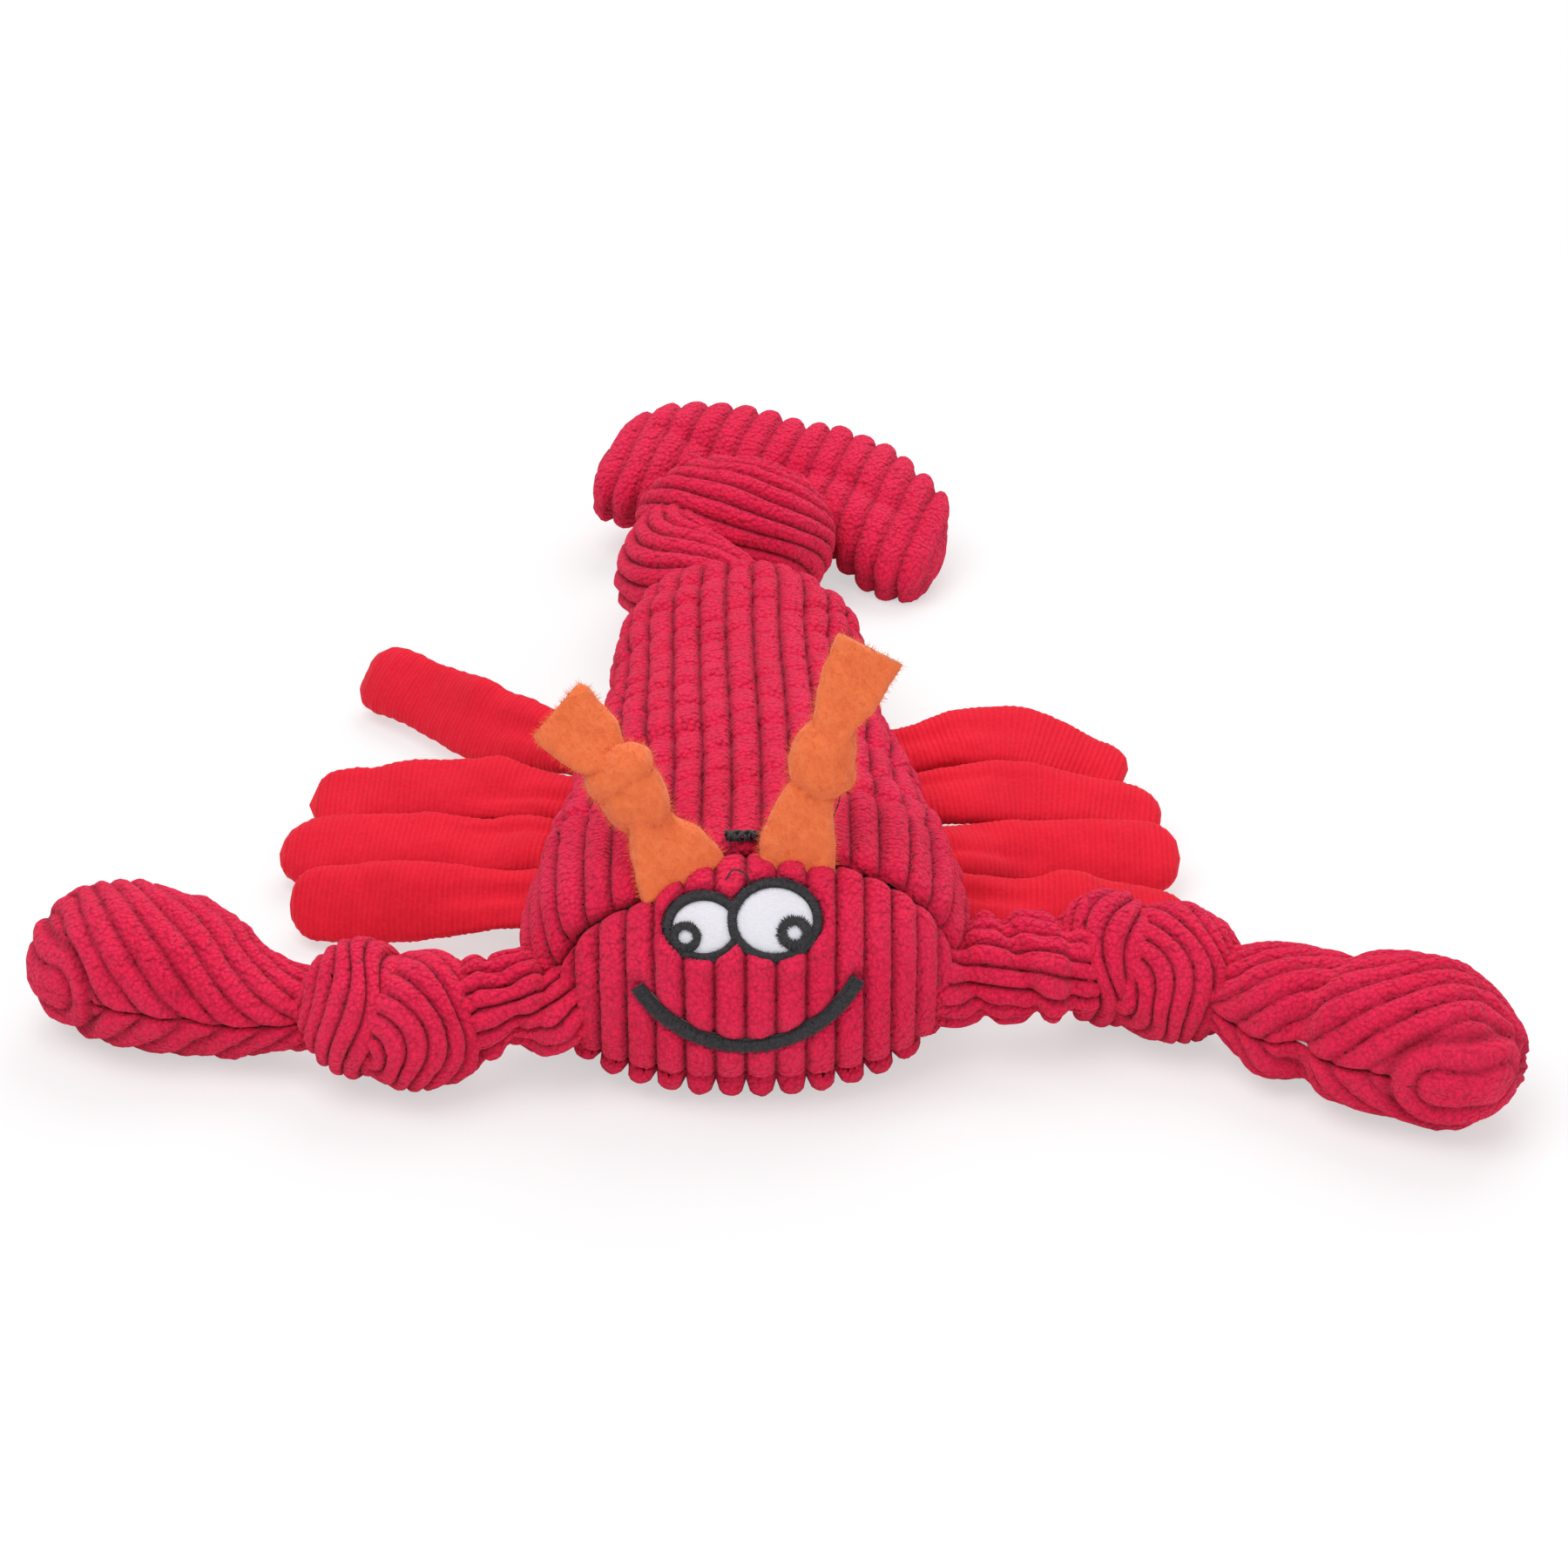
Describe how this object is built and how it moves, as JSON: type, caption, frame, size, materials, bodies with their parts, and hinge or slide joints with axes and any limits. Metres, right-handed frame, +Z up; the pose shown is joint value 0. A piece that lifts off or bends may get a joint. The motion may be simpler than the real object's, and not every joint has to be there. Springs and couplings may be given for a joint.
{
  "type": "plush lobster toy",
  "caption": "Stuffed plush lobster toy with a wide corduroy body, knotted arms ending in claws, flat velour legs, fleece antennae, stitched face and a knotted tail with a fan.",
  "frame": {"origin": "middle of the flat underside of the belly, on the surface the toy lies on", "axes": "+Z up from the surface, -Y towards the face, +Y towards the tail, +X towards the toy's own left arm, which is on the right when it is seen from the front"},
  "size_m": [0.4012, 0.3834, 0.1213],
  "materials": {
    "corduroy": "wide-wale corduroy, matt",
    "velboa": "short-pile knitted velboa, soft sheen",
    "fleece": "anti-pill fleece, matt",
    "white_felt": "woven white patch",
    "black_thread": "satin-stitched embroidery thread",
    "polyester_fill": "loose polyester fibre",
    "squeaker_plastic": "soft blow-moulded polythene"
  },
  "bodies": {
    "trunk": {"face_panel": "corduroy", "back_panel": "corduroy", "belly_panel": "corduroy", "body_stuffing": "polyester_fill", "squeaker_bulb": "squeaker_plastic", "squeaker_reed": "squeaker_plastic", "left_eye_white": "white_felt", "right_eye_white": "white_felt", "left_eye_stitching": "black_thread", "right_eye_stitching": "black_thread", "mouth_stitching": "black_thread", "closing_thread": "black_thread"},
    "antenna_left": {"left_antenna": "fleece"},
    "antenna_right": {"right_antenna": "fleece"},
    "sleeve_left": {"left_arm_sleeve": "corduroy"},
    "knot_left": {"left_arm_knot": "corduroy"},
    "claw_left": {"left_claw_top_panel": "corduroy", "left_claw_bottom_panel": "corduroy", "left_claw_stuffing": "polyester_fill", "left_claw_squeaker": "squeaker_plastic"},
    "leg_left_1": {"left_leg_1": "velboa"},
    "leg_left_2": {"left_leg_2": "velboa"},
    "leg_left_3": {"left_leg_3": "velboa"},
    "leg_left_4": {"left_leg_4": "velboa"},
    "sleeve_right": {"right_arm_sleeve": "corduroy"},
    "knot_right": {"right_arm_knot": "corduroy"},
    "claw_right": {"right_claw_top_panel": "corduroy", "right_claw_bottom_panel": "corduroy", "right_claw_stuffing": "polyester_fill", "right_claw_squeaker": "squeaker_plastic"},
    "leg_right_1": {"right_leg_1": "velboa"},
    "leg_right_2": {"right_leg_2": "velboa"},
    "leg_right_3": {"right_leg_3": "velboa"},
    "leg_right_4": {"right_leg_4": "velboa"},
    "tail_root": {"tail_sleeve": "corduroy", "tail_knot": "corduroy"},
    "fan": {"fan_top_panel": "corduroy", "fan_bottom_panel": "corduroy", "fan_stuffing": "polyester_fill"}
  },
  "joints": [
    {"name": "left_antenna_nod", "type": "hinge", "parent": "trunk", "child": "antenna_left", "pos_m": [-0.021, -0.09, 0.06506], "axis": [1, 0, 0], "range_deg": [-30, 30], "stiffness_Nm_per_rad": 0.03},
    {"name": "right_antenna_nod", "type": "hinge", "parent": "trunk", "child": "antenna_right", "pos_m": [0.012, -0.09, 0.0654], "axis": [1, 0, 0], "range_deg": [-30, 30], "stiffness_Nm_per_rad": 0.03},
    {"name": "left_arm_swing", "type": "hinge", "parent": "trunk", "child": "sleeve_left", "pos_m": [-0.06165, -0.102, 0.022], "axis": [0, 0, 1], "range_deg": [-8, 40]},
    {"name": "left_arm_lift", "type": "hinge", "parent": "sleeve_left", "child": "knot_left", "pos_m": [-0.06364, -0.10207, 0.022], "axis": [-0.0349, 0.9994, 0], "range_deg": [0, 55]},
    {"name": "left_claw_swing", "type": "hinge", "parent": "knot_left", "child": "claw_left", "pos_m": [-0.12266, -0.09482, 0.017], "axis": [0, 0, 1], "range_deg": [-35, 45]},
    {"name": "right_arm_swing", "type": "hinge", "parent": "trunk", "child": "sleeve_right", "pos_m": [0.06165, -0.0865, 0.022], "axis": [0, 0, -1], "range_deg": [-8, 40]},
    {"name": "right_arm_lift", "type": "hinge", "parent": "sleeve_right", "child": "knot_right", "pos_m": [0.07751, -0.08438, 0.022], "axis": [0.1323, -0.9912, 0], "range_deg": [0, 55]},
    {"name": "right_claw_swing", "type": "hinge", "parent": "knot_right", "child": "claw_right", "pos_m": [0.13462, -0.09312, 0.017], "axis": [0, 0, -1], "range_deg": [-35, 45]},
    {"name": "left_leg_1_flap", "type": "hinge", "parent": "trunk", "child": "leg_left_1", "pos_m": [-0.04452, 0.038, 0.018], "axis": [0, 1, 0], "range_deg": [0, 70]},
    {"name": "left_leg_2_flap", "type": "hinge", "parent": "trunk", "child": "leg_left_2", "pos_m": [-0.04857, 0.011, 0.018], "axis": [0, 1, 0], "range_deg": [0, 70]},
    {"name": "left_leg_3_flap", "type": "hinge", "parent": "trunk", "child": "leg_left_3", "pos_m": [-0.05277, -0.016, 0.018], "axis": [0, 1, 0], "range_deg": [0, 70]},
    {"name": "left_leg_4_flap", "type": "hinge", "parent": "trunk", "child": "leg_left_4", "pos_m": [-0.05627, -0.043, 0.018], "axis": [0, 1, 0], "range_deg": [0, 70]},
    {"name": "right_leg_1_flap", "type": "hinge", "parent": "trunk", "child": "leg_right_1", "pos_m": [0.04452, 0.038, 0.018], "axis": [0, -1, 0], "range_deg": [0, 70]},
    {"name": "right_leg_2_flap", "type": "hinge", "parent": "trunk", "child": "leg_right_2", "pos_m": [0.04857, 0.011, 0.018], "axis": [0, -1, 0], "range_deg": [0, 70]},
    {"name": "right_leg_3_flap", "type": "hinge", "parent": "trunk", "child": "leg_right_3", "pos_m": [0.05277, -0.016, 0.018], "axis": [0, -1, 0], "range_deg": [0, 70]},
    {"name": "right_leg_4_flap", "type": "hinge", "parent": "trunk", "child": "leg_right_4", "pos_m": [0.05627, -0.043, 0.018], "axis": [0, -1, 0], "range_deg": [0, 70]},
    {"name": "tail_swing", "type": "hinge", "parent": "trunk", "child": "tail_root", "pos_m": [0, 0.1234, 0.024], "axis": [0, 0, 1], "range_deg": [-28, 28]},
    {"name": "fan_flap", "type": "hinge", "parent": "tail_root", "child": "fan", "pos_m": [0.00251, 0.1924, 0.015], "axis": [0.9237, -0.3732, -0.0872], "range_deg": [0, 40]}
  ]
}
